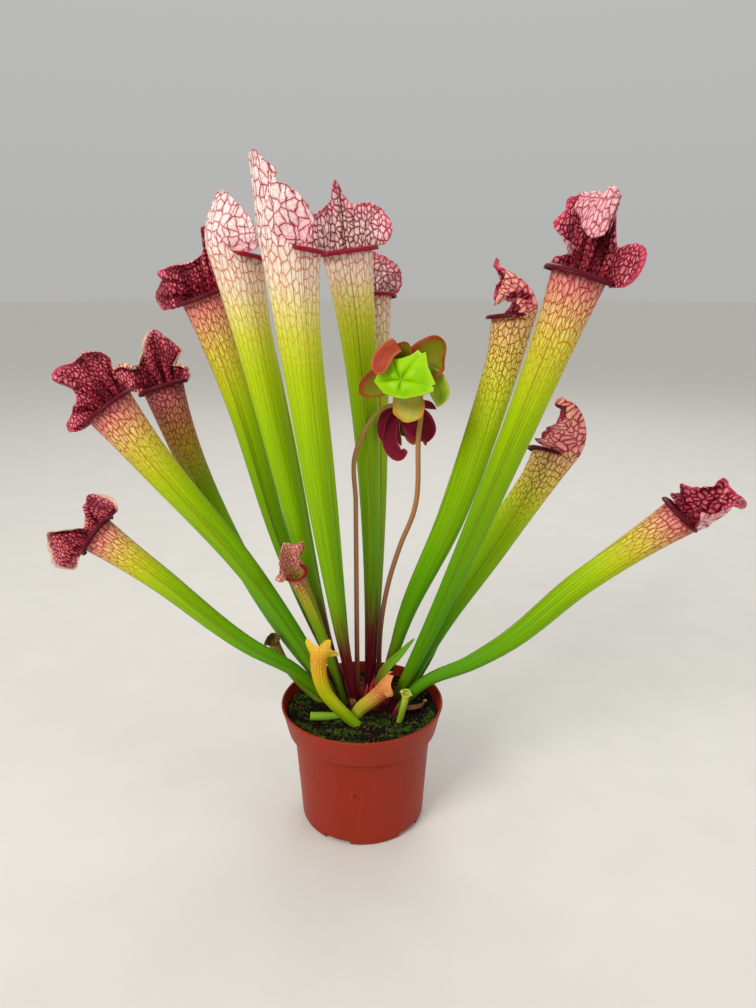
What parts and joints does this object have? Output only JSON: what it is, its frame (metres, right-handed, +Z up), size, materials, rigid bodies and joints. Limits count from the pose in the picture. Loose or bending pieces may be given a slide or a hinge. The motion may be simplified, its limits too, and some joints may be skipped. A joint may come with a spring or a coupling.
{
  "type": "potted trumpet pitcher plant",
  "caption": "Clump of tall trumpet pitcher leaves with netted hoods and two spent flowers, rising from peat in a round plastic nursery pot.",
  "frame": {"origin": "middle of the pot's flat underside, on the surface that it stands on", "axes": "+Z up along the pot's axis, -Y towards the front of the plant, +X to its right as seen from the front"},
  "size_m": [0.493, 0.1665, 0.4636],
  "materials": {
    "terracotta_plastic": "satin",
    "peat": "matte",
    "crown_skin": "satin",
    "crimson_trumpet": "satin",
    "pale_trumpet": "satin",
    "green_leaf": "satin",
    "yellow_leaf": "satin",
    "orange_leaf": "satin",
    "flower_stalk": "satin",
    "flower_umbrella": "satin",
    "flower_sepal": "satin",
    "flower_petal": "satin",
    "bark": "matte",
    "fertiliser": "satin"
  },
  "bodies": {
    "root": {"pot": "terracotta_plastic", "soil": "peat", "rhizome": "crown_skin", "pitcher_far_left": "crimson_trumpet", "pitcher_left": "crimson_trumpet", "pitcher_left_rear": "crimson_trumpet", "pitcher_rear_left": "crimson_trumpet", "pitcher_tall_left": "pale_trumpet", "pitcher_tallest": "pale_trumpet", "pitcher_centre": "pale_trumpet", "pitcher_centre_rear": "pale_trumpet", "pitcher_right_rear": "crimson_trumpet", "pitcher_right_tall": "crimson_trumpet", "pitcher_right": "crimson_trumpet", "pitcher_far_right": "crimson_trumpet", "pitcher_small_red": "crimson_trumpet", "pitchlet_yellow": "yellow_leaf", "pitchlet_orange": "orange_leaf", "pitchlet_green": "yellow_leaf", "pitchlet_brown_lid": "green_leaf", "leaf_blade_upright": "green_leaf", "leaf_blade_broad": "green_leaf", "leaf_stub": "green_leaf", "flower_front_stem": "flower_stalk", "flower_front_umbrella": "flower_umbrella", "flower_front_sepals": "flower_sepal", "flower_rear_stem": "flower_stalk", "flower_rear_petals": "flower_petal", "bark_scrap": "bark", "fertiliser_grain": "fertiliser"}
  },
  "joints": []
}
